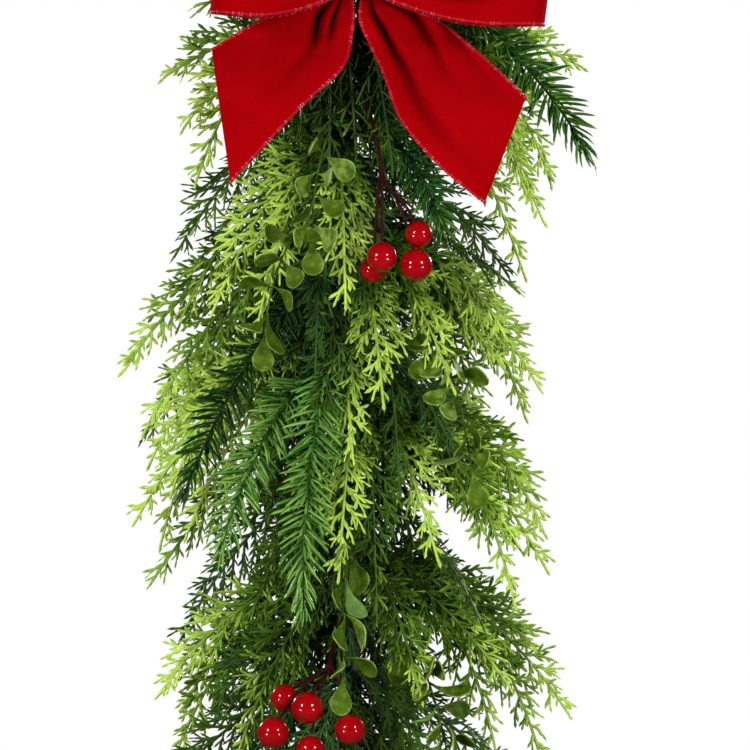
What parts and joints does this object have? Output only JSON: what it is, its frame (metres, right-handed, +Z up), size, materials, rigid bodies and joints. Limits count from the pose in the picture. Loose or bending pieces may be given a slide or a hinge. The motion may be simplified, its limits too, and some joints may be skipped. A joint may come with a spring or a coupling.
{
  "type": "christmas garland",
  "caption": "Hanging artificial greenery garland of mixed cedar, fir and round-leaf stems with red berries and a red velvet bow near its top, hung by a wire eye.",
  "frame": {"origin": "highest point inside the wire eye at the garland's top end, where it rests on its hook", "axes": "+Z up along the hanging garland, -Y out of its front, where the bow and the berries are, +X to the right as seen from the front"},
  "size_m": [0.2913, 0.1896, 0.9186],
  "materials": {
    "paper": "matt brown wrapping",
    "wire": "satin drawn wire",
    "velvet": "red velvet with wired edges",
    "berry": "high gloss red",
    "leaf": "satin green with a lighter rim",
    "fir": "satin deep green",
    "cedar_lime": "satin yellow-green",
    "cedar_dark": "satin dark green with lighter tips"
  },
  "bodies": {
    "root": {"core_stem": "paper", "hanging_eye": "wire", "bow_knot": "velvet", "bow_tie_wire": "wire", "bow_loop_left": "velvet", "bow_loop_right": "velvet", "bow_tail_left": "velvet", "bow_tail_right": "velvet", "berry_cluster_1": "berry", "berry_cluster_2": "berry", "berry_cluster_3": "berry", "berry_cluster_4": "berry", "leaf_stem_1": "leaf", "leaf_stem_2": "leaf", "leaf_stem_3": "leaf", "leaf_stem_4": "leaf", "leaf_stem_5": "leaf", "leaf_stem_6": "leaf", "fir_sprig_1": "fir", "fir_sprig_2": "fir", "fir_sprig_3": "fir", "fir_sprig_4": "fir", "fir_sprig_5": "fir", "fir_sprig_6": "fir", "fir_sprig_7": "fir", "fir_sprig_8": "fir", "cedar_lime_01": "cedar_lime", "cedar_lime_02": "cedar_lime", "cedar_lime_03": "cedar_lime", "cedar_lime_04": "cedar_lime", "cedar_lime_05": "cedar_lime", "cedar_lime_06": "cedar_lime", "cedar_lime_07": "cedar_lime", "cedar_lime_08": "cedar_lime", "cedar_lime_09": "cedar_lime", "cedar_lime_10": "cedar_lime", "cedar_lime_11": "cedar_lime", "cedar_lime_12": "cedar_lime", "cedar_lime_13": "cedar_lime", "cedar_lime_14": "cedar_lime", "cedar_dark_01": "cedar_dark", "cedar_dark_02": "cedar_dark", "cedar_dark_03": "cedar_dark", "cedar_dark_04": "cedar_dark", "cedar_dark_05": "cedar_dark", "cedar_dark_06": "cedar_dark", "cedar_dark_07": "cedar_dark", "cedar_dark_08": "cedar_dark", "cedar_dark_09": "cedar_dark", "cedar_dark_10": "cedar_dark", "cedar_dark_11": "cedar_dark", "cedar_dark_12": "cedar_dark", "cedar_dark_13": "cedar_dark", "cedar_dark_14": "cedar_dark", "cedar_dark_15": "cedar_dark", "cedar_dark_16": "cedar_dark", "cedar_dark_17": "cedar_dark", "cedar_dark_18": "cedar_dark", "cedar_dark_19": "cedar_dark", "cedar_dark_20": "cedar_dark"}
  },
  "joints": []
}
